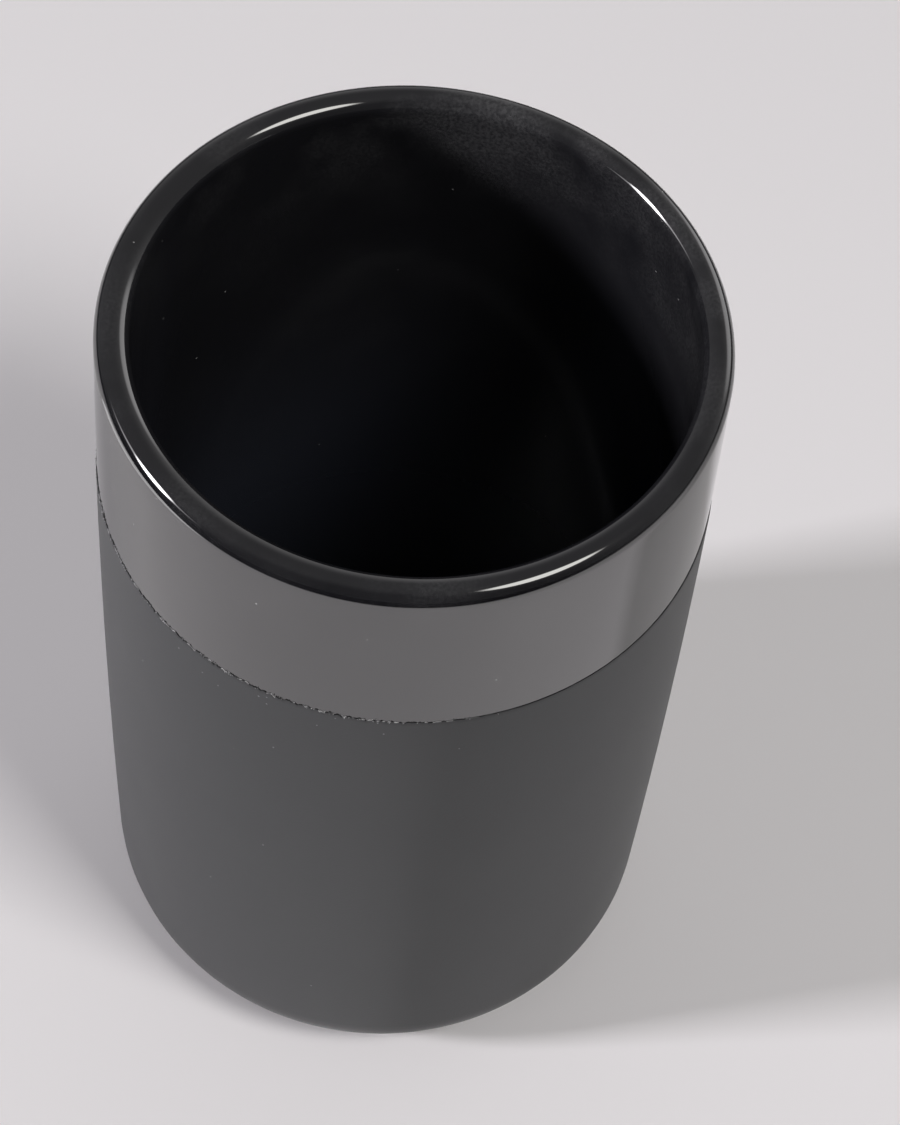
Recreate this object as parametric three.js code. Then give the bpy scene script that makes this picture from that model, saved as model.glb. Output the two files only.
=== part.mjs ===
// An empty ceramic candle jar: a tall round stoneware pot with a full round lip, glazed gloss black
// inside and out, and coated soft-touch matte below a masked edge. It stands on a bare foot ring.
// Millimetres, +Z up. The origin is the centre of the foot ring, on the surface that it stands on.

import * as THREE from "three";

// Driving dimensions
const height = 134.5; // from the surface below to the top of the lip
const rimRadius = 41; // outside of the glazed wall where the lip starts
const baseRadius = 40.3; // outside of the glazed wall where the base corner starts
const belly = 0.65; // how far the wall swells out at mid height
const wallThickness = 4.3; // glazed wall, and so the width of the lip
const baseCornerRadius = 11; // outside corner, between wall and foot ring
const insideCornerRadius = 9; // inside corner, between wall and floor
const floorThickness = 6; // glazed floor over the recess
const footHeight = 1; // how far the foot ring stands out below the base corner
const footWidth = 4; // foot ring, across its flat face and both rounded edges
const footEdgeRadius = 0.5; // rounded edges of the foot ring
const recessDepth = 1.5; // hollow under the base, from the foot ring's face to the clay
const glazeThickness = 0.35;
const coatingThickness = 0.12;
const bandHeight = 29; // gloss band, from the coating's edge to the top of the lip
const recessGlazeMargin = 1.2; // bare clay around the glaze in the recess
const layerGap = 0.02; // hairline between clay, glaze and coating, so that their facets never cross

// How finely the round shapes are cut
const turnSteps = 48;
const cornerSteps = 6;
const lipSteps = 8;
const edgeSteps = 3;
const coatedWallSteps = 4;
const bandSteps = 2;

// Heights and radii that follow from the driving dimensions
const lipRadius = wallThickness / 2;
const wallBottom = footHeight + baseCornerRadius;
const wallTop = height - lipRadius;
const bandEdge = height - bandHeight;
const floorTop = recessDepth + floorThickness;
const insideWallBottom = floorTop + insideCornerRadius;
const baseCornerCentre = baseRadius - baseCornerRadius;
const footRadius = baseCornerCentre - layerGap;
const recessRadius = footRadius - footWidth;
const clayDepth = glazeThickness + layerGap; // from the glaze's surface down to the clay's
const coatingRise = coatingThickness + layerGap; // from the glaze's surface up to the coating's

const quarter = Math.PI / 2;

// The glazed outside of the wall: a straight taper with a shallow belly
function wallRadius(z) {
  const rise = (z - wallBottom) / (wallTop - wallBottom);
  const taper = baseRadius + (rimRadius - baseRadius) * rise;
  return taper + belly * 4 * rise * (1 - rise);
}

// Points of an arc, both ends included
function arc(centreRadius, centreZ, radius, fromAngle, toAngle, steps) {
  return Array.from({ length: steps + 1 }, (_, i) => {
    const angle = fromAngle + ((toAngle - fromAngle) * i) / steps;
    return new THREE.Vector2(
      centreRadius + radius * Math.cos(angle),
      centreZ + radius * Math.sin(angle),
    );
  });
}

// Heights between two levels, both ends included
function levels(fromZ, toZ, steps) {
  return Array.from({ length: steps + 1 }, (_, i) => fromZ + ((toZ - fromZ) * i) / steps);
}

// Every outline below takes a depth: 0 is the glaze's surface, more is deeper into the clay,
// and less than 0 is outside the glaze. Every layer has its points at the same heights and angles.

function baseCorner(depth) {
  return arc(baseCornerCentre, wallBottom, baseCornerRadius - depth, -quarter, 0, cornerSteps);
}

function coatedWall(depth) {
  return levels(wallBottom, bandEdge, coatedWallSteps)
    .slice(1)
    .map((z) => new THREE.Vector2(wallRadius(z) - depth, z));
}

function bandWall(depth) {
  return levels(bandEdge, wallTop, bandSteps)
    .slice(1, -1)
    .map((z) => new THREE.Vector2(wallRadius(z) - depth, z));
}

function lip(depth) {
  return arc(rimRadius - lipRadius, wallTop, lipRadius - depth, 0, 2 * quarter, lipSteps);
}

function insideWall(depth) {
  return levels(wallTop, insideWallBottom, coatedWallSteps + bandSteps)
    .slice(1, -1)
    .map((z) => new THREE.Vector2(wallRadius(z) - wallThickness + depth, z));
}

function insideCorner(depth) {
  const cornerRadius = wallRadius(insideWallBottom) - wallThickness - insideCornerRadius;
  return arc(cornerRadius, insideWallBottom, insideCornerRadius + depth, 0, -quarter, cornerSteps);
}

// From the foot ring up the outside, over the lip and down to the middle of the floor
function potOutline(depth) {
  return [
    ...baseCorner(depth),
    ...coatedWall(depth),
    ...bandWall(depth),
    ...lip(depth),
    ...insideWall(depth),
    ...insideCorner(depth),
    new THREE.Vector2(0, floorTop - depth),
  ];
}

// The bare foot ring and the recess inside it, from the middle of the recess outwards
function footOutline() {
  const inner = recessRadius + footEdgeRadius;
  const outer = footRadius - footEdgeRadius;
  return [
    new THREE.Vector2(0, recessDepth),
    new THREE.Vector2(recessRadius, recessDepth),
    ...arc(inner, footEdgeRadius, footEdgeRadius, 2 * quarter, 3 * quarter, edgeSteps),
    ...arc(outer, footEdgeRadius, footEdgeRadius, -quarter, 0, edgeSteps),
    new THREE.Vector2(footRadius, footHeight + clayDepth),
  ];
}

function closeLoop(points) {
  return [...points, points[0].clone()];
}

// Turns an outline about the jar's axis, which stands along +Z
function turned(name, outline, material) {
  const mesh = new THREE.Mesh(new THREE.LatheGeometry(outline, turnSteps), material);
  mesh.name = name;
  mesh.rotation.x = quarter;
  return mesh;
}

function stonewareBody() {
  const material = new THREE.MeshStandardMaterial({ color: 0xb9b0a2, roughness: 0.85, metalness: 0 });
  return turned("stoneware_body", [...footOutline(), ...potOutline(clayDepth)], material);
}

function glossGlaze() {
  const material = new THREE.MeshStandardMaterial({ color: 0x0b0b0c, roughness: 0.08, metalness: 0 });
  const outline = [...potOutline(glazeThickness).reverse(), ...potOutline(0)];
  return turned("gloss_glaze", outline, material);
}

function matteCoating() {
  const material = new THREE.MeshStandardMaterial({ color: 0x3b3c3e, roughness: 0.7, metalness: 0 });
  const glazeSide = [...baseCorner(-layerGap), ...coatedWall(-layerGap)];
  const outside = [...baseCorner(-coatingRise), ...coatedWall(-coatingRise)];
  return turned("matte_coating", closeLoop([...outside, ...glazeSide.reverse()]), material);
}

function recessGlaze() {
  const material = new THREE.MeshStandardMaterial({ color: 0x0b0b0c, roughness: 0.08, metalness: 0 });
  const radius = recessRadius - recessGlazeMargin;
  const top = recessDepth - layerGap;
  const outline = [
    new THREE.Vector2(0, top - glazeThickness),
    new THREE.Vector2(radius - glazeThickness, top - glazeThickness),
    new THREE.Vector2(radius, top),
    new THREE.Vector2(0, top),
  ];
  return turned("recess_glaze", outline, material);
}

const candleJar = new THREE.Group();
candleJar.add(stonewareBody(), glossGlaze(), recessGlaze(), matteCoating());

export default candleJar;
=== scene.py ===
# An empty candle jar: a stoneware pot with a black gloss glaze and a soft-touch coat below the rim band.
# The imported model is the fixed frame, and every length here is in metres in that frame.
import math
import bmesh
import bpy
from mathutils import Matrix, Vector


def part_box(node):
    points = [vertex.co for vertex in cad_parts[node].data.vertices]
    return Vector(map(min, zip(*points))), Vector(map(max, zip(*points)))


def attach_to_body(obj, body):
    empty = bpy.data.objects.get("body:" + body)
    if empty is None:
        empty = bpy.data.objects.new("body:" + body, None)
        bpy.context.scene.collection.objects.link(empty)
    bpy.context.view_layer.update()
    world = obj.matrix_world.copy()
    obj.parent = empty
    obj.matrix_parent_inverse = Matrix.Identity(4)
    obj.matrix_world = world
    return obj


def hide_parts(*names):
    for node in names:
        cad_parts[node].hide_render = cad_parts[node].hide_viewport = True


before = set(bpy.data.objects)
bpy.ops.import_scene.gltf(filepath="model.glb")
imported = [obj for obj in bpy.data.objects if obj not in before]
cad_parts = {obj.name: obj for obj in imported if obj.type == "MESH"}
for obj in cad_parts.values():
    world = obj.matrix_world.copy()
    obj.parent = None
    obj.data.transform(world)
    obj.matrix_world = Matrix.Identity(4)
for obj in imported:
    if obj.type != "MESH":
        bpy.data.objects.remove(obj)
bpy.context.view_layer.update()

mm = 0.001
quarter = math.pi / 2


def linear(hexColor, alpha=1.0):
    channels = [int(hexColor[i:i + 2], 16) / 255 for i in (1, 3, 5)]
    return [c / 12.92 if c <= 0.04045 else ((c + 0.055) / 1.055) ** 2.4 for c in channels] + [alpha]


# the pot's own sizes, the rest are read from the frame's boxes
pot = {
    "rimRadius": 41 * mm,
    "baseRadius": 40.3 * mm,
    "belly": 0.65 * mm,
    "wall": 4.3 * mm,
    "baseCorner": 11 * mm,
    "insideCorner": 9 * mm,
    "floorThickness": 6 * mm,
    "recessDepth": 1.5 * mm,
    "footWidth": 4 * mm,
    "footEdge": 0.5 * mm,
    "glaze": 0.35 * mm,
    "layerGap": 0.02 * mm,
    "outOfRound": 0.006,
    "insideShift": (0.28 * mm, 0.1 * mm, 0.0),
}
glazeLow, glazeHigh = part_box("gloss_glaze")
coatLow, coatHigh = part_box("matte_coating")
pot["height"] = glazeHigh.z
pot["footHeight"] = glazeLow.z
pot["bandEdge"] = coatHigh.z
pot["coatRise"] = glazeLow.z - coatLow.z
pot["lip"] = pot["wall"] / 2
pot["wallBottom"] = pot["footHeight"] + pot["baseCorner"]
pot["wallTop"] = pot["height"] - pot["lip"]
pot["cornerCentre"] = pot["baseRadius"] - pot["baseCorner"]
pot["floorTop"] = pot["footHeight"] + pot["floorThickness"]
pot["insideBottom"] = pot["floorTop"] + pot["insideCorner"]
pot["clayDepth"] = pot["glaze"] + pot["layerGap"]
pot["footRadius"] = pot["cornerCentre"] - pot["layerGap"]
pot["recessRadius"] = pot["footRadius"] - pot["footWidth"]


def wallRadius(z):
    rise = (z - pot["wallBottom"]) / (pot["wallTop"] - pot["wallBottom"])
    straight = pot["baseRadius"] + (pot["rimRadius"] - pot["baseRadius"]) * rise
    return straight + pot["belly"] * 4 * rise * (1 - rise)


def arc(centreR, centreZ, radius, start, end, steps):
    angles = [start + (end - start) * i / steps for i in range(steps + 1)]
    return [(centreR + radius * math.cos(a), centreZ + radius * math.sin(a)) for a in angles]


def levels(low, high, steps):
    return [low + (high - low) * i / steps for i in range(steps + 1)]


# each stretch takes a depth below the glaze's face, and a negative depth stands proud of it
def baseCorner(depth, steps=20):
    return arc(pot["cornerCentre"], pot["wallBottom"], pot["baseCorner"] - depth, -quarter, 0, steps)


def outerWall(depth, fromZ, toZ, steps):
    return [(wallRadius(z) - depth, z) for z in levels(fromZ, toZ, steps)]


def lip(depth, steps=32):
    return arc(pot["rimRadius"] - pot["lip"], pot["wallTop"], pot["lip"] - depth, 0, 2 * quarter, steps)


def insideRadius(z):
    return wallRadius(z) - pot["wall"]


def inside(depth, steps=40):
    wall = [(insideRadius(z) + depth, z) for z in levels(pot["wallTop"], pot["insideBottom"], steps)]
    cornerR = insideRadius(pot["insideBottom"]) - pot["insideCorner"]
    corner = arc(cornerR, pot["insideBottom"], pot["insideCorner"] + depth, 0, -quarter, 20)
    return wall[1:] + corner[1:] + [(0, pot["floorTop"] - depth)]


def potOutline(depth):
    wall = outerWall(depth, pot["wallBottom"], pot["wallTop"], 40)
    return baseCorner(depth) + wall[1:] + lip(depth)[1:] + inside(depth)


# inputs are named by their socket, with _ for a space, or i0, i1 and so on by their place
def addNode(tree, kind, settings=None, **inputs):
    node = tree.nodes.new(kind)
    for key, value in (settings or {}).items():
        setattr(node, key, value)
    for key, value in inputs.items():
        socket = node.inputs[int(key[1:])] if key[1:].isdigit() else node.inputs[key.replace("_", " ")]
        if isinstance(value, bpy.types.NodeSocket):
            tree.links.new(value, socket)
        elif isinstance(value, bpy.types.Node):
            tree.links.new(value.outputs[0], socket)
        else:
            socket.default_value = value
    return node


# short forms of the commonest nodes, each handing on the socket that holds its result
def maths(tree, operation, *values):
    inputs = {f"i{index}": value for index, value in enumerate(values)}
    return addNode(tree, "ShaderNodeMath", {"operation": operation}, **inputs).outputs[0]


def mapped(tree, value, low, high, toLow=0.0, toHigh=1.0, ease="LINEAR"):
    return addNode(tree, "ShaderNodeMapRange", {"interpolation_type": ease}, i0=value, i1=low, i2=high,
                   i3=toLow, i4=toHigh).outputs[0]


def eased(tree, value, low, high, toLow=0.0, toHigh=1.0):
    return mapped(tree, value, low, high, toLow, toHigh, "SMOOTHSTEP")


def dotWith(tree, value, direction):
    return addNode(tree, "ShaderNodeVectorMath", {"operation": "DOT_PRODUCT"}, i0=value,
                   i1=direction).outputs["Value"]


def blended(tree, share, first, second):
    return addNode(tree, "ShaderNodeMix", {"data_type": "RGBA"}, i0=share, i6=first, i7=second).outputs[2]


# a noise pattern with features of the given size in metres
def noise(tree, place, size, detail):
    return addNode(tree, "ShaderNodeTexNoise", None, Vector=place, Scale=1 / size, Detail=detail).outputs[0]


# specks of the given size on the share of cells given, one cell to each spacing
def specks(tree, place, spacing, size, share):
    cells = addNode(tree, "ShaderNodeTexVoronoi", None, Vector=place, Scale=1 / spacing).outputs
    chance = addNode(tree, "ShaderNodeSeparateColor", None, i0=cells["Color"])
    picked = maths(tree, "LESS_THAN", chance, share)
    small = maths(tree, "LESS_THAN", cells["Distance"], size / spacing)
    return maths(tree, "MULTIPLY", picked, small)


def bumped(tree, shader, pattern, height, strength=1.0):
    bump = addNode(tree, "ShaderNodeBump", None, Strength=strength, Distance=height, Height=pattern)
    tree.links.new(bump.outputs[0], shader.inputs["Normal"])


def newGeometryTree(name, inputs):
    tree = bpy.data.node_groups.new(name, "GeometryNodeTree")
    for socketName, kind, default in inputs:
        socket = tree.interface.new_socket(socketName, in_out="INPUT", socket_type=kind)
        if default is not None:
            socket.default_value = default
    tree.interface.new_socket("Geometry", in_out="OUTPUT", socket_type="NodeSocketGeometry")
    return tree


# how ragged the masked edge is round the pot: 1 on the side where the tape tore it, low where it lifted clean
tornFrom, tornTo = -0.05, 0.3


def raggedness(tree, ring, side, clean):
    return eased(tree, dotWith(tree, ring, side), tornFrom, tornTo, clean, 1.0)


# turns an outline, a chain of points in the XZ plane, round the Z axis
def turnedTree():
    tree = newGeometryTree("turned outline", [
        ("Geometry", "NodeSocketGeometry", None),
        ("Turn Steps", "NodeSocketInt", 256),
        ("Out Of Round", "NodeSocketFloat", 0.0),
        ("Inside Shift", "NodeSocketVector", (0.0, 0.0, 0.0)),
        ("Edge Height", "NodeSocketFloat", 0.0),
        ("Edge Reach", "NodeSocketFloat", 1 * mm),
        ("Edge Raggedness", "NodeSocketFloat", 0.0),
        ("Clean Share", "NodeSocketFloat", 0.1),
        ("Ragged Side", "NodeSocketVector", (-1.0, 0.0, 0.0)),
        ("Seed", "NodeSocketFloat", 3.0),
        ("Finish", "NodeSocketMaterial", None),
    ])
    given = addNode(tree, "NodeGroupInput").outputs
    size = addNode(tree, "GeometryNodeAttributeDomainSize", {"component": "MESH"}, i0=given["Geometry"])
    rows = size.outputs["Point Count"]
    columns = maths(tree, "ADD", given["Turn Steps"], 1.0)
    grid = addNode(tree, "GeometryNodeMeshGrid", None, Size_X=1.0, Size_Y=1.0,
                   Vertices_X=columns, Vertices_Y=rows)

    # each grid row takes its radius and height from one outline point
    place = addNode(tree, "GeometryNodeInputPosition")
    across = addNode(tree, "ShaderNodeSeparateXYZ", None, i0=place).outputs
    lastRow = maths(tree, "SUBTRACT", rows, 1.0)
    along = maths(tree, "ADD", across["Y"], 0.5)
    row = maths(tree, "MULTIPLY", along, lastRow)
    index = addNode(tree, "FunctionNodeFloatToInt", {"rounding_mode": "ROUND"}, i0=row)
    point = addNode(tree, "GeometryNodeSampleIndex", {"data_type": "FLOAT_VECTOR", "domain": "POINT"},
                    Geometry=given["Geometry"], Value=place, Index=index)
    outline = addNode(tree, "ShaderNodeSeparateXYZ", None, i0=point).outputs
    isInside = addNode(tree, "GeometryNodeInputNamedAttribute", {"data_type": "FLOAT"}, Name="inside")
    insideHere = addNode(tree, "GeometryNodeSampleIndex", {"data_type": "FLOAT", "domain": "POINT"},
                         Geometry=given["Geometry"], Value=isInside, Index=index)
    turn = maths(tree, "MULTIPLY_ADD", across["X"], 4 * quarter, 2 * quarter)
    cosine = maths(tree, "COSINE", turn)
    sine = maths(tree, "SINE", turn)
    ring = addNode(tree, "ShaderNodeCombineXYZ", None, X=cosine, Y=sine)

    # the slow swell of a cast and fired pot, the same for every layer
    swellNoise = addNode(tree, "ShaderNodeTexNoise", {"noise_dimensions": "4D"}, Vector=ring,
                         W=7.0, Scale=0.9, Detail=0.0)
    swell = maths(tree, "SUBTRACT", swellNoise, 0.5)
    swell = maths(tree, "MULTIPLY", swell, given["Out Of Round"])
    radius = maths(tree, "MULTIPLY_ADD", outline["X"], swell, outline["X"])

    # the masked edge: full weight at the edge and none one reach below it
    below = maths(tree, "SUBTRACT", given["Edge Height"], outline["Z"])
    weight = mapped(tree, below, 0.0, given["Edge Reach"], 1.0, 0.0)
    ragged = raggedness(tree, ring, given["Ragged Side"], given["Clean Share"])
    tears = addNode(tree, "ShaderNodeTexNoise", {"noise_dimensions": "4D"}, Vector=ring, W=given["Seed"],
                    Scale=60.0, Detail=5.0, Roughness=0.75)
    tear = maths(tree, "SUBTRACT", tears, 0.5)
    for factor in (given["Edge Raggedness"], ragged, weight):
        tear = maths(tree, "MULTIPLY", tear, factor)
    height = maths(tree, "ADD", outline["Z"], tear)

    placeX = maths(tree, "MULTIPLY", radius, cosine)
    placeY = maths(tree, "MULTIPLY", radius, sine)
    centred = addNode(tree, "ShaderNodeCombineXYZ", None, X=placeX, Y=placeY, Z=height)

    # the hollow sits a little off centre, as it does in a cast pot
    shift = addNode(tree, "ShaderNodeVectorMath", {"operation": "SCALE"}, i0=given["Inside Shift"],
                    Scale=insideHere)
    moved = addNode(tree, "ShaderNodeVectorMath", {"operation": "ADD"}, i0=centred, i1=shift)
    # these are stored while the grid is flat, since they are read from its flat place
    marked = grid.outputs["Mesh"]
    for name, value in (("edgeWeight", weight), ("edgeRagged", ragged), ("hollow", insideHere)):
        marked = addNode(tree, "GeometryNodeStoreNamedAttribute", {"data_type": "FLOAT", "domain": "POINT"},
                         Geometry=marked, Name=name, Value=value)
    turned = addNode(tree, "GeometryNodeSetPosition", None, Geometry=marked, Position=moved)
    closed = addNode(tree, "GeometryNodeMergeByDistance", None, Geometry=turned, Distance=0.001 * mm)
    smooth = addNode(tree, "GeometryNodeSetShadeSmooth", None, Geometry=closed)
    real = addNode(tree, "GeometryNodeRealizeInstances", None, Geometry=smooth)
    finished = addNode(tree, "GeometryNodeSetMaterial", None, Geometry=real, Material=given["Finish"])
    addNode(tree, "NodeGroupOutput", None, Geometry=finished)
    return tree


# 0 on the outside of the pot and 1 on the wall and floor of its hollow, easing across the lip
def hollowShare(r, z):
    if z < pot["floorTop"] - pot["clayDepth"] - pot["layerGap"]:
        return 0.0
    across = (pot["rimRadius"] - pot["lip"] - r) / pot["lip"]
    return min(max(across, 0.0), 1.0)


def newObject(name, data):
    thing = bpy.data.objects.new(name, data)
    bpy.context.scene.collection.objects.link(thing)
    return thing


def chainObject(name, points):
    mesh = bpy.data.meshes.new(name)
    mesh.from_pydata([(r, 0.0, z) for r, z in points], [(i, i + 1) for i in range(len(points) - 1)], [])
    inside = mesh.attributes.new("inside", "FLOAT", "POINT")
    for i, (r, z) in enumerate(points):
        inside.data[i].value = hollowShare(r, z)
    return newObject(name, mesh)


# runs a tree on a chain of points and keeps the result as a plain mesh
def grown(name, points, tree, values, sharpAngle=40):
    source = chainObject(name + "_outline", points)
    modifier = source.modifiers.new(tree.name, "NODES")
    modifier.node_group = tree
    sockets = {s.name: s.identifier for s in tree.interface.items_tree if s.in_out == "INPUT"}
    for key, value in values.items():
        modifier[sockets[key]] = value
    depsgraph = bpy.context.evaluated_depsgraph_get()
    mesh = bpy.data.meshes.new_from_object(source.evaluated_get(depsgraph), depsgraph=depsgraph)
    bpy.data.objects.remove(source)
    mesh.name = name
    work = bmesh.new()
    work.from_mesh(mesh)
    bmesh.ops.recalc_face_normals(work, faces=work.faces)
    work.to_mesh(mesh)
    work.free()
    mesh.set_sharp_from_angle(angle=math.radians(sharpAngle))
    piece = newObject(name, mesh)
    print("made", name, "with", len(mesh.polygons), "faces")
    return piece


def attach(piece, slotName, *replaced):
    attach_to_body(piece, "root")
    if replaced:
        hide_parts(*replaced)


def newMaterial(name, **sockets):
    material = bpy.data.materials.new(name)
    material.use_nodes = True
    shader = material.node_tree.nodes["Principled BSDF"]
    for key, value in sockets.items():
        shader.inputs[key.replace("_", " ")].default_value = value
    return material, material.node_tree, shader


# black gloss glaze: fired glass, so it mirrors the room sharply and its own black shows only in between;
# thin dust haze, laid on partly as painted light where the strip light falls in the hollow, and a few specks
# lift the black a little where light falls straight on it
glazeLook = {
    "black": "#18181b",
    "hollow": "#1f1f22",
    "haze": "#424244",
    "deepBlueLight": "#2b2e37",
    "dust": "#a0a0a0",
    "roughness": 0.045,
    "floorRoughness": 0.45,
    "ior": 2.1,
    "rippleSize": 9 * mm,
    "rippleHeight": 0.012 * mm,
    "hazeSize": 14 * mm,
    "hazeGrain": 0.45 * mm,
    # the haze is thickest towards the back right and under the lip, where the strip light falls in the
    # hollow: partly real dust, partly painted light
    "dustAndLightTowards": (0.45, 0.89, 0.0),
    "hazeRoughness": 0.03,
    "cloudRange": (0.42, 0.7),
    "cloudMost": 0.7,
    "grainRange": (0.35, 0.75),
    "grainLeast": 0.25,
    "dustAndLightReach": 30 * mm,
    "dustAndLightLeast": 0.3,
    "dustAndLightBelowRim": (20 * mm, 3 * mm),
    "dustAndLightUnderLip": 2.3,
    "deepRange": (0.3, 0.75),
    "dullRise": 6 * mm,
    "dullShare": 0.65,
    "speckSpacing": 3.4 * mm,
    "speckSize": 0.14 * mm,
    "speckShare": 0.22,
}


def glossGlaze():
    look = glazeLook
    material, tree, shader = newMaterial("black gloss glaze", IOR=look["ior"])
    place = addNode(tree, "ShaderNodeTexCoord").outputs["Object"]
    height = addNode(tree, "ShaderNodeSeparateXYZ", None, i0=place).outputs["Z"]

    clouds = noise(tree, place, look["hazeSize"], 3.0)
    grain = noise(tree, place, look["hazeGrain"], 2.0)
    cloudy = mapped(tree, clouds, *look["cloudRange"], 0.0, look["cloudMost"])
    grainy = mapped(tree, grain, *look["grainRange"], look["grainLeast"], 1.0)
    hazy = maths(tree, "MULTIPLY", cloudy, grainy)
    # the lip and band are given a blacker colour than the hollow; in the hollow a grey dust haze is laid on,
    # thickest under the lip at the back right where the strip light falls, so it is partly real dust and
    # partly painted light
    hollow = addNode(tree, "ShaderNodeAttribute", {"attribute_name": "hollow"}).outputs["Fac"]
    lipOrHollowBlack = blended(tree, hollow, linear(look["black"]), linear(look["hollow"]))
    towardsDust = dotWith(tree, place, look["dustAndLightTowards"])
    backWall = mapped(tree, towardsDust, 0.0, look["dustAndLightReach"], look["dustAndLightLeast"], 1.0)
    dustAndLightFrom, dustAndLightTo = [pot["height"] - depth for depth in look["dustAndLightBelowRim"]]
    underLip = mapped(tree, height, dustAndLightFrom, dustAndLightTo, look["dustAndLightLeast"], look["dustAndLightUnderLip"])
    dustAndLightShare = maths(tree, "MULTIPLY", backWall, underLip)
    dustAndLightFilm = addNode(tree, "ShaderNodeMath", {"operation": "MULTIPLY", "use_clamp": True}, i0=hazy, i1=dustAndLightShare)
    hazedAndLit = blended(tree, dustAndLightFilm, lipOrHollowBlack, linear(look["haze"]))
    # low in the hollow a bluish painted light is mixed into the glaze colour, standing for the bluish cast of
    # the light down there
    deepFrom, deepTo = [share * pot["height"] for share in look["deepRange"]]
    sunk = eased(tree, height, deepFrom, deepTo, 1.0, 0.0)
    deepBlueShare = maths(tree, "MULTIPLY", sunk, hollow)
    body = blended(tree, deepBlueShare, hazedAndLit, linear(look["deepBlueLight"]))

    # one speck of dust in about one cell of five
    speck = specks(tree, place, look["speckSpacing"], look["speckSize"], look["speckShare"])
    colour = blended(tree, speck, body, linear(look["dust"]))
    tree.links.new(colour, shader.inputs["Base Color"])

    # the floor inside pools a duller glaze than the walls
    inFloor = eased(tree, height, pot["floorTop"] + look["dullRise"], look["dullShare"] * pot["height"],
                    look["floorRoughness"], look["roughness"])
    dusted = maths(tree, "MULTIPLY_ADD", hazy, look["hazeRoughness"], inFloor)
    tree.links.new(dusted, shader.inputs["Roughness"])

    # the slight ripple that lets straight reflections waver
    ripple = noise(tree, place, look["rippleSize"], 1.0)
    bumped(tree, shader, ripple, look["rippleHeight"])
    return material


# soft-touch polyurethane paint: sprayed on matte, so it shows no mirror image, only a broad velvety
# brightening towards its edges, and along its masked edge runs a dark line of painted shade
coatLook = {
    "colour": "#404143",
    "mottle": "#444547",
    "paintedEdgeShade": "#0b0b0c",
    # a pale painted highlight for torn paint, where it catches the light
    "flake": "#c4c4c5",
    "dust": "#85868a",
    "ior": 1.3,
    "roughness": 0.55,
    "sheen": 0.12,
    "sheenRoughness": 0.4,
    "mottleSize": 18 * mm,
    "gritSize": 0.35 * mm,
    "gritHeight": 0.012 * mm,
    "edgeShadeShare": 0.08,
    "shadeDashSize": 0.5 * mm,
    "shadeDashShare": 0.22,
    "scrapSize": 0.75 * mm,
    "shadeDashRange": (0.45, 0.62),
    "scrapRange": (0.5, 0.56),
    "glintRange": (0.35, 0.75),
    "roughnessSpread": 0.02,
    "dustSpacing": 1.1 * mm,
    "dustSize": 0.13 * mm,
    "dustReach": 9 * mm,
    "dustShare": (0.01, 0.3),
}


def softTouchCoat():
    look = coatLook
    material, tree, shader = newMaterial("soft-touch polyurethane paint", IOR=look["ior"],
                                         Sheen_Weight=look["sheen"], Sheen_Roughness=look["sheenRoughness"])
    place = addNode(tree, "ShaderNodeTexCoord").outputs["Object"]
    weight = addNode(tree, "ShaderNodeAttribute", {"attribute_name": "edgeWeight"}).outputs["Fac"]
    ragged = addNode(tree, "ShaderNodeAttribute", {"attribute_name": "edgeRagged"}).outputs["Fac"]

    clouds = noise(tree, place, look["mottleSize"], 4.0)
    body = blended(tree, clouds, linear(look["colour"]), linear(look["mottle"]))

    # lint and dust cling to the paint, most of all under the torn edge
    height = addNode(tree, "ShaderNodeSeparateXYZ", None, i0=place).outputs["Z"]
    nearEdge = eased(tree, height, pot["bandEdge"] - look["dustReach"], pot["bandEdge"], *look["dustShare"])
    share = maths(tree, "MULTIPLY", nearEdge, ragged)
    speck = specks(tree, place, look["dustSpacing"], look["dustSize"], share)
    dusty = blended(tree, speck, body, linear(look["dust"]))

    # along the masked edge a line of painted shade, a hair wide where the tape lifted clean and wider in dark
    # dashes where it tore, broken there by pale torn paint painted with a highlight
    shadeDashes = noise(tree, place, look["shadeDashSize"], 3.0)
    wider = mapped(tree, shadeDashes, *look["shadeDashRange"], 0.0, look["shadeDashShare"])
    width = maths(tree, "MULTIPLY_ADD", wider, ragged, look["edgeShadeShare"])
    start = maths(tree, "SUBTRACT", 1.0, width)
    cut = eased(tree, weight, start, 1.0)
    scraps = noise(tree, place, look["scrapSize"], 2.0)
    pale = mapped(tree, scraps, *look["scrapRange"])
    paleHere = maths(tree, "MULTIPLY", pale, ragged)
    edgeShadeColour = blended(tree, paleHere, linear(look["paintedEdgeShade"]), linear(look["flake"]))
    colour = blended(tree, cut, dusty, edgeShadeColour)
    tree.links.new(colour, shader.inputs["Base Color"])
    smoothest, roughest = [look["roughness"] + way * look["roughnessSpread"] for way in (-1, 1)]
    roughness = mapped(tree, clouds, 0.3, 0.7, smoothest, roughest)
    tree.links.new(roughness, shader.inputs["Roughness"])

    # spray grit, drawn coarser than the real one so that it shows at all
    grit = noise(tree, place, look["gritSize"], 2.0)
    bumped(tree, shader, grit, look["gritHeight"])
    return material


# flakes of the same paint, torn up by the tape: some keep the paint's own dark and some are given a pale
# painted highlight, as where a torn flake catches the light
def tornPaint():
    material, tree, shader = newMaterial("torn soft-touch paint", Roughness=0.8, IOR=1.5)
    glintShare = addNode(tree, "ShaderNodeAttribute", {"attribute_name": "flakeGlint"}).outputs["Fac"]
    pale = eased(tree, glintShare, *coatLook["glintRange"])
    colour = blended(tree, pale, linear(coatLook["colour"]), linear(coatLook["flake"]))
    tree.links.new(colour, shader.inputs["Base Color"])
    return material


# unglazed stoneware: fired clay, dry and dull, buff with small iron specks and a sandy grain
clayLook = {
    "clay": "#a89a86",
    "sand": "#c2b6a4",
    "iron": "#5b4636",
    "grainSize": 0.6 * mm,
    "grainHeight": 0.05 * mm,
    "ironSpacing": 1.6 * mm,
    "ironSize": 0.22 * mm,
}


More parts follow.
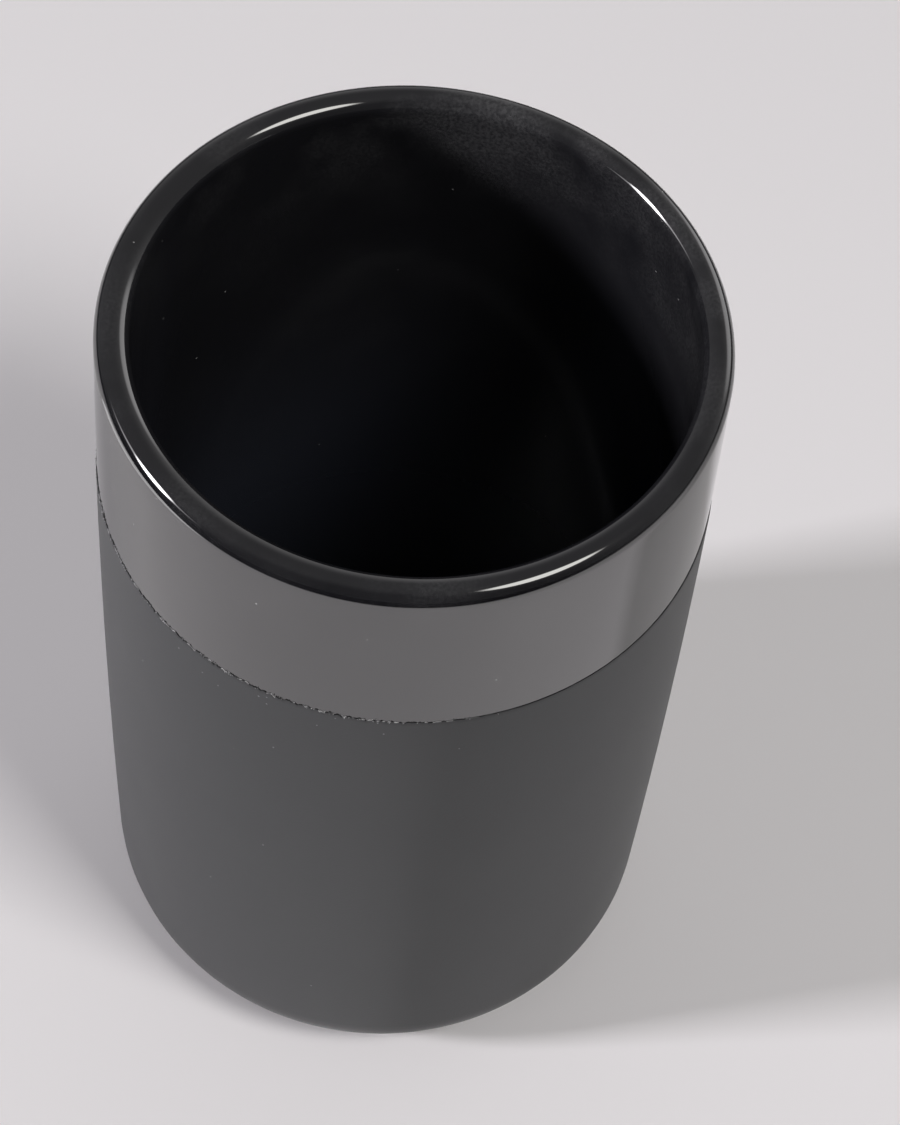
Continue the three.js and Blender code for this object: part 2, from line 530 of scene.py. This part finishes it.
def bareStoneware():
    look = clayLook
    material, tree, shader = newMaterial("unglazed stoneware", Roughness=0.88, IOR=1.5)
    place = addNode(tree, "ShaderNodeTexCoord").outputs["Object"]
    grain = noise(tree, place, look["grainSize"], 6.0)
    sandy = mapped(tree, grain, 0.35, 0.65)
    body = blended(tree, sandy, linear(look["clay"]), linear(look["sand"]))
    cells = addNode(tree, "ShaderNodeTexVoronoi", None, Vector=place, Scale=1 / look["ironSpacing"])
    speck = mapped(tree, cells.outputs["Distance"], look["ironSize"] / look["ironSpacing"],
                   0.5 * look["ironSize"] / look["ironSpacing"])
    colour = blended(tree, speck, body, linear(look["iron"]))
    tree.links.new(colour, shader.inputs["Base Color"])
    bumped(tree, shader, grain, look["grainHeight"], 0.8)
    return material


glaze = glossGlaze()
softTouch = softTouchCoat()
tornFlake = tornPaint()
stoneware = bareStoneware()
print("materials made")

turned = turnedTree()

# the glaze skin wraps the clay from the foot, over the lip and down to the floor inside
glazeBack = list(reversed(potOutline(pot["glaze"])))
glazePiece = grown("glaze_skin", glazeBack + potOutline(0), turned,
                   {"Turn Steps": 256, "Out Of Round": pot["outOfRound"],
                    "Inside Shift": pot["insideShift"], "Finish": glaze})
attach(glazePiece, "gloss_glaze", "gloss_glaze")

# the clay shows only at the foot ring underneath
foot = {"recessZ": pot["recessDepth"], "edgeSteps": 8}


def footOutline():
    edge = pot["footEdge"]
    innerEdge = arc(pot["recessRadius"] + edge, edge, edge, 2 * quarter, 3 * quarter, foot["edgeSteps"])
    outerEdge = arc(pot["footRadius"] - edge, edge, edge, -quarter, 0, foot["edgeSteps"])
    wallTop = (pot["footRadius"], pot["footHeight"] + pot["clayDepth"])
    return [(0, foot["recessZ"]), (pot["recessRadius"], foot["recessZ"])] + innerEdge + outerEdge + [wallTop]


clayPiece = grown("clay_pot", footOutline() + potOutline(pot["clayDepth"]), turned,
                  {"Turn Steps": 192, "Out Of Round": pot["outOfRound"],
                   "Inside Shift": pot["insideShift"], "Finish": stoneware})
attach(clayPiece, "bare_stoneware", "stoneware_body")

# a patch of glaze in the recess under the floor, its edge thinned where it was wiped
recessLow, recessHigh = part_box("recess_glaze")
wipedEdge = arc(recessHigh.x - pot["glaze"], recessHigh.z, recessHigh.z - recessLow.z, -quarter, 0, 6)
recessPiece = grown("recess_glaze_patch", [(0, recessLow.z)] + wipedEdge + [(0, recessHigh.z)], turned,
                    {"Turn Steps": 128, "Out Of Round": pot["outOfRound"], "Finish": glaze})
attach(recessPiece, "gloss_glaze", "recess_glaze")

# the soft-touch coat: fine rows near its masked edge, so that the edge is really torn in the mesh
coat = {
    "turnSteps": 1800,
    "edgeReach": 0.8 * mm,
    "raggedness": 3 * mm,
    "cleanShare": 0.05,
    "raggedSide": (-1.0, -0.35, 0.0),
    "edgeRound": 0.03 * mm,
    "edgeRise": 0.07 * mm,
    "cornerSteps": 12,
    "wallSteps": 8,
    "edgeSteps": 8,
}


def coatOutline():
    fineFrom = pot["bandEdge"] - coat["edgeReach"]
    proud = -pot["coatRise"]
    corner = coat["cornerSteps"]
    outer = baseCorner(proud, corner) + outerWall(proud, pot["wallBottom"], fineFrom, coat["wallSteps"])[1:]
    # the paint thins towards the tape
    rows = levels(fineFrom, pot["bandEdge"] - coat["edgeRound"], coat["edgeSteps"])
    for row, z in list(enumerate(rows))[1:]:
        thinned = (row / coat["edgeSteps"]) ** 2 * (pot["coatRise"] - coat["edgeRise"])
        outer.append((wallRadius(z) + pot["coatRise"] - thinned, z))
    edgeR = wallRadius(pot["bandEdge"]) + coat["edgeRise"] - coat["edgeRound"]
    outer += arc(edgeR, pot["bandEdge"] - coat["edgeRound"], coat["edgeRound"], 0, quarter, 2)[1:]
    back = -pot["layerGap"]
    inner = baseCorner(back, corner) + outerWall(back, pot["wallBottom"], fineFrom, 4)[1:]
    inner += outerWall(back, fineFrom, pot["bandEdge"], 2)[1:]
    return outer + list(reversed(inner)) + outer[:1]


coatPiece = grown("soft_touch_coat", coatOutline(), turned, {
    "Turn Steps": coat["turnSteps"],
    "Out Of Round": pot["outOfRound"],
    "Edge Height": pot["bandEdge"],
    "Edge Reach": coat["edgeReach"],
    "Edge Raggedness": coat["raggedness"],
    "Clean Share": coat["cleanShare"],
    "Ragged Side": coat["raggedSide"],
    "Finish": softTouch,
})
attach(coatPiece, "soft_touch_coating", "matte_coating")

# flakes of paint left standing along the torn part of the masked edge
flakes = {
    "count": 900,
    "size": 0.19 * mm,
    "thinness": 0.35,
    "spread": 0.2 * mm,
    "seed": 11,
}


def flakeTree():
    tree = newGeometryTree("torn flakes", [
        ("Geometry", "NodeSocketGeometry", None),
        ("Count", "NodeSocketInt", 500),
        ("Radius", "NodeSocketFloat", 41 * mm),
        ("Height", "NodeSocketFloat", 0.1),
        ("Size", "NodeSocketFloat", 0.15 * mm),
        ("Spread", "NodeSocketFloat", 0.1 * mm),
        ("Ragged Side", "NodeSocketVector", (-1.0, 0.0, 0.0)),
        ("Seed", "NodeSocketInt", 1),
        ("Finish", "NodeSocketMaterial", None),
    ])
    given = addNode(tree, "NodeGroupInput").outputs
    circle = addNode(tree, "GeometryNodeCurvePrimitiveCircle", {"mode": "RADIUS"}, Resolution=256,
                     Radius=given["Radius"])
    points = addNode(tree, "GeometryNodeCurveToPoints", {"mode": "COUNT"}, Curve=circle, Count=given["Count"])
    lifted = addNode(tree, "ShaderNodeCombineXYZ", None, Z=given["Height"])
    raised = addNode(tree, "GeometryNodeSetPosition", None, Geometry=points.outputs["Points"], Offset=lifted)

    # a flake keeps its place by chance, never on the clean side
    place = addNode(tree, "GeometryNodeInputPosition")
    flat = addNode(tree, "ShaderNodeVectorMath", {"operation": "MULTIPLY"}, i0=place, i1=(1.0, 1.0, 0.0))
    ring = addNode(tree, "ShaderNodeVectorMath", {"operation": "NORMALIZE"}, i0=flat)
    ragged = raggedness(tree, ring, given["Ragged Side"], 0.0)
    clumps = addNode(tree, "ShaderNodeTexNoise", {"noise_dimensions": "4D"}, Vector=ring, W=5.0, Scale=12.0)
    clumpy = mapped(tree, clumps, 0.38, 0.62)
    kept = maths(tree, "MULTIPLY", ragged, clumpy)
    draw = addNode(tree, "FunctionNodeRandomValue", {"data_type": "FLOAT"}, Seed=given["Seed"])
    lost = addNode(tree, "FunctionNodeCompare", {"data_type": "FLOAT", "operation": "GREATER_THAN"},
                   i0=draw.outputs[1], i1=kept)
    left = addNode(tree, "GeometryNodeDeleteGeometry", {"domain": "POINT"}, Geometry=raised, Selection=lost)
    spreadLow = addNode(tree, "ShaderNodeVectorMath", {"operation": "SCALE"}, i0=(-0.2, -0.2, -1.0),
                        Scale=given["Spread"])
    spreadHigh = addNode(tree, "ShaderNodeVectorMath", {"operation": "SCALE"}, i0=(0.2, 0.2, 0.6),
                         Scale=given["Spread"])
    shift = addNode(tree, "FunctionNodeRandomValue", {"data_type": "FLOAT_VECTOR"},
                    i0=spreadLow, i1=spreadHigh, Seed=21)
    strewn = addNode(tree, "GeometryNodeSetPosition", None, Geometry=left, Offset=shift.outputs[0])

    flake = addNode(tree, "GeometryNodeMeshIcoSphere", None, Radius=0.5, Subdivisions=1)
    thin = addNode(tree, "GeometryNodeTransform", None, Geometry=flake.outputs["Mesh"],
                   Scale=(1.0, 0.7, flakes["thinness"]))
    turnBy = addNode(tree, "FunctionNodeRandomValue", {"data_type": "FLOAT_VECTOR"}, i0=(0.0, 0.0, 0.0),
                     i1=(4 * quarter, 4 * quarter, 4 * quarter), Seed=22)
    sizeBy = addNode(tree, "FunctionNodeRandomValue", {"data_type": "FLOAT_VECTOR"}, i0=(0.5, 0.4, 0.5),
                     i1=(2.2, 1.3, 1.3), Seed=23)
    scale = addNode(tree, "ShaderNodeVectorMath", {"operation": "SCALE"}, i0=sizeBy.outputs[0],
                    Scale=given["Size"])
    placed = addNode(tree, "GeometryNodeInstanceOnPoints", None, Points=strewn, Instance=thin,
                     Rotation=turnBy.outputs[0], Scale=scale)
    # each flake draws at random how much pale painted highlight it gets
    glintShare = addNode(tree, "FunctionNodeRandomValue", {"data_type": "FLOAT"}, Seed=24)
    withGlint = addNode(tree, "GeometryNodeStoreNamedAttribute", {"data_type": "FLOAT", "domain": "INSTANCE"},
                    Geometry=placed, Name="flakeGlint", Value=glintShare.outputs[1])
    real = addNode(tree, "GeometryNodeRealizeInstances", None, Geometry=withGlint)
    finished = addNode(tree, "GeometryNodeSetMaterial", None, Geometry=real, Material=given["Finish"])
    addNode(tree, "NodeGroupOutput", None, Geometry=finished)
    return tree


flakePiece = grown("coat_edge_flakes", [(0, 0), (0, mm)], flakeTree(), {
    "Count": flakes["count"],
    "Radius": wallRadius(pot["bandEdge"]) + pot["coatRise"],
    "Height": pot["bandEdge"],
    "Size": flakes["size"],
    "Spread": flakes["spread"],
    "Ragged Side": coat["raggedSide"],
    "Seed": flakes["seed"],
    "Finish": tornFlake,
}, 180)
attach(flakePiece, "soft_touch_coating")
print("pieces attached")

# a plain pale floor, far wider than the pot
floorMesh = bpy.data.meshes.new("floor")
floorReach = 6
corners = [(-floorReach, -floorReach, 0), (floorReach, -floorReach, 0), (floorReach, floorReach, 0),
           (-floorReach, floorReach, 0)]
floorMesh.from_pydata(corners, [], [(0, 1, 2, 3)])
floor = newObject("floor", floorMesh)
floorMaterial, _, _ = newMaterial("pale matte board", Base_Color=linear("#edebed"), Roughness=0.45, IOR=1.4)
floorMesh.materials.append(floorMaterial)

# two things on the floor that only reflections see: a surround, as if the pale board ended a little way off,
# painted dark in front and to the left as the shade of the unlit room, which gives the rim its dark shoulder,
# and grey behind and to the right for the lit backdrop, and a bright spot on the board at the left, a painted
# glow where the strip light falls hardest
surround = {
    "edge": [(-0.36, -0.12), (0.6, -0.35), (0.62, 0.32), (-0.8, 0.36)],
    "rounds": 3,
    "reach": 24,
    "lift": 1 * mm,
    "dark": "#101010",
    "grey": "#6e6e6e",
    "greyTowards": (0.6, 0.8, 0.0),
    "greyRange": (-0.3, 0.6),
}
brightSpot = {
    "corners": [(-0.165, -0.11), (-0.165, 0.06), (-0.32, 0.06), (-0.32, -0.11)],
    "lift": 1 * mm,
    "glow": 1.2,
}


# a card painted dark for the unlit room and grey for the lit backdrop, seen only in reflections
def surroundShadeCard():
    material, tree, shader = newMaterial("painted room shade round the board", Roughness=1.0, Specular_IOR_Level=0.0)
    place = addNode(tree, "ShaderNodeTexCoord").outputs["Object"]
    outwards = addNode(tree, "ShaderNodeVectorMath", {"operation": "NORMALIZE"}, i0=place)
    towards = dotWith(tree, outwards, surround["greyTowards"])
    share = eased(tree, towards, *surround["greyRange"])
    colour = blended(tree, share, linear(surround["dark"]), linear(surround["grey"]))
    tree.links.new(colour, shader.inputs["Base Color"])
    return material


def floorCard(name, corners, faces, lift, material):
    mesh = bpy.data.meshes.new(name)
    mesh.from_pydata([(x, y, lift) for x, y in corners], [], faces)
    mesh.materials.append(material)
    card = newObject(name, mesh)
    card.visible_camera = False
    card.visible_diffuse = False
    card.visible_shadow = False


# cuts every corner off a quarter of the way along its sides, a few times over
def roundedEdge(corners, rounds):
    for _ in range(rounds):
        cut = []
        for (x, y), (nextX, nextY) in zip(corners, corners[1:] + corners[:1]):
            cut += [(x + (nextX - x) * share, y + (nextY - y) * share) for share in (0.25, 0.75)]
        corners = cut
    return corners


innerEdge = roundedEdge(surround["edge"], surround["rounds"])
outerEdge = [(x * surround["reach"], y * surround["reach"]) for x, y in innerEdge]
edgeCount = len(innerEdge)
ring = [(i, (i + 1) % edgeCount, edgeCount + (i + 1) % edgeCount, edgeCount + i) for i in range(edgeCount)]
floorCard("board_surround", innerEdge + outerEdge, ring, surround["lift"], surroundShadeCard())
# the spot glows, a painted pool of light seen only in reflections
paintedLightSpot, _, _ = newMaterial("bright spot on the board", Roughness=1.0, Specular_IOR_Level=0.0,
                                Emission_Color=linear("#fffdff"), Emission_Strength=brightSpot["glow"])
floorCard("bright_spot", brightSpot["corners"], [(0, 1, 2, 3)], brightSpot["lift"], paintedLightSpot)

# the room: a pale sweep behind that fades upwards, a bright patch at the back right, a dim ceiling,
# a dark side in front and a gloom at the left
room = {
    "ceiling": 0.125,
    "front": 0.04,
    "sweep": 0.28,
    "sweepTowards": (0.35, 0.937, 0.0),
    "patch": 0.85,
    "patchTowards": (0.672, 0.72, 0.174),
    "patchCore": 0.985,
    "patchEdge": 0.925,
    "gloomTowards": (-0.974, -0.225, 0.0),
    "gloom": 0.8,
    "frontRange": (-0.75, -0.1),
    "sweepRange": (0.4, 0.95),
    "sweepHeight": (0.1, 0.9),
    "gloomRange": (0.8, 0.97),
}


def studioWorld():
    world = bpy.data.worlds.new("studio")
    world.use_nodes = True
    tree = world.node_tree
    direction = addNode(tree, "ShaderNodeTexCoord").outputs["Generated"]
    parts = addNode(tree, "ShaderNodeSeparateXYZ", None, i0=direction).outputs
    base = eased(tree, parts["Y"], *room["frontRange"], room["front"], room["ceiling"])
    back = dotWith(tree, direction, room["sweepTowards"])
    behind = eased(tree, back, *room["sweepRange"], 0.0, room["sweep"])
    low = eased(tree, parts["Z"], *room["sweepHeight"], 1.0, 0.0)
    towards = dotWith(tree, direction, room["patchTowards"])
    patch = eased(tree, towards, room["patchEdge"], room["patchCore"], 0.0, room["patch"])
    left = dotWith(tree, direction, room["gloomTowards"])
    gloom = eased(tree, left, *room["gloomRange"], 1.0, 1 - room["gloom"])
    dimmed = maths(tree, "MULTIPLY", base, gloom)
    lit = maths(tree, "MULTIPLY_ADD", behind, low, dimmed)
    radiance = maths(tree, "ADD", lit, patch)
    tree.links.new(radiance, tree.nodes["Background"].inputs["Strength"])
    tree.nodes["Background"].inputs["Color"].default_value = linear("#fffdfe")
    return world


bpy.context.scene.world = studioWorld()

# the studio lights, placed by the direction that they come from and their distance from the rim;
# a light with a fade is only mirrored, dimming towards its edges, and the rest only light matte surfaces
rimCentre = Vector((0, 0, pot["height"]))
coolWhite, warmWhite = "#fffcff", "#fffdf8"
lights = {
    "strip": {"azimuth": -169, "elevation": 19, "distance": 2.6, "width": 0.85, "height": 1.0,
              "radiance": 36, "colour": coolWhite, "fade": 0.1},
    "strip_glow": {"azimuth": -172, "elevation": 19, "distance": 2.8, "width": 2.4, "height": 0.7,
                   "radiance": 2.5, "colour": coolWhite, "fade": 0.1},
    "strip_behind": {"azimuth": -167, "elevation": 20.5, "distance": 2.7, "width": 0.34, "height": 0.34,
                     "radiance": 165, "colour": coolWhite},
    "softbox": {"azimuth": -36.5, "elevation": 53, "distance": 1.6, "width": 0.86, "height": 0.7,
                "radiance": 5, "colour": warmWhite, "fade": 0.34},
    "softbox_behind": {"azimuth": -39, "elevation": 55, "distance": 1.65, "width": 0.5, "height": 0.5,
                       "radiance": 18.6, "colour": "#fffdfa"},
    "softbox_glow": {"azimuth": -36.5, "elevation": 53, "distance": 1.7, "width": 2.0, "height": 2.0,
                     "radiance": 0.05, "colour": warmWhite, "fade": 0.1},
    "back_fill": {"azimuth": 95, "elevation": 62, "distance": 2.0, "width": 1.6, "height": 1.6,
                  "radiance": 0.24, "colour": "#fffdff"},
}


# brightest in its middle, as a softbox is
def fadedFace(data, fadeFrom):
    data.use_nodes = True
    tree = data.node_tree
    across = addNode(tree, "ShaderNodeNewGeometry").outputs["Parametric"]
    centred = addNode(tree, "ShaderNodeVectorMath", {"operation": "SUBTRACT"}, i0=across, i1=(0.5, 0.5, 0.0))
    outwards = addNode(tree, "ShaderNodeVectorMath", {"operation": "LENGTH"}, i0=centred)
    fade = eased(tree, outwards.outputs["Value"], fadeFrom, 0.5, 1.0, 0.0)
    tree.links.new(fade, tree.nodes["Emission"].inputs["Strength"])


def studioLight(name, azimuth, elevation, distance, width, height, radiance, colour, fade=None):
    turn, lift = math.radians(azimuth), math.radians(elevation)
    towards = Vector((math.cos(turn) * math.cos(lift), math.sin(turn) * math.cos(lift), math.sin(lift)))
    data = bpy.data.lights.new(name, "AREA")
    data.shape = "RECTANGLE"
    data.size = width
    data.size_y = height
    data.energy = radiance * math.pi * width * height
    data.color = linear(colour)[:3]
    mirrored = fade is not None
    if mirrored:
        fadedFace(data, fade)
    light = newObject(name, data)
    facing = towards.to_track_quat("Z", "Y").to_matrix().to_4x4()
    light.matrix_world = Matrix.Translation(rimCentre + towards * distance) @ facing
    light.visible_camera = False
    light.visible_glossy = mirrored
    light.visible_diffuse = not mirrored


for name, values in lights.items():
    studioLight(name, **values)

# the camera looks down at the rim over a long lens, tipped and rolled a little
view = {
    "lens": 112,
    "distance": 446.1 * mm,
    "elevation": 53.596,
    "turn": 0.86,
    "tip": 3.792,
    "roll": -4.648,
}


def viewCamera():
    data = bpy.data.cameras.new("camera")
    data.lens = view["lens"]
    data.sensor_width = 36
    data.clip_start = 10 * mm
    data.clip_end = 50
    camera = newObject("camera", data)
    lift = math.radians(view["elevation"])
    back = Vector((0, -math.cos(lift), math.sin(lift)))
    right = Vector((1, 0, 0))
    facing = Matrix((right, back.cross(right), back))
    for angle, axis in (("turn", "Y"), ("tip", "X"), ("roll", "Z")):
        facing = Matrix.Rotation(math.radians(view[angle]), 3, axis) @ facing
    place = Matrix.Translation(rimCentre + back * view["distance"])
    camera.matrix_world = place @ facing.transposed().to_4x4()
    return camera


bpy.context.scene.camera = viewCamera()
bpy.context.scene.view_settings.view_transform = "Standard"
print("stage set")
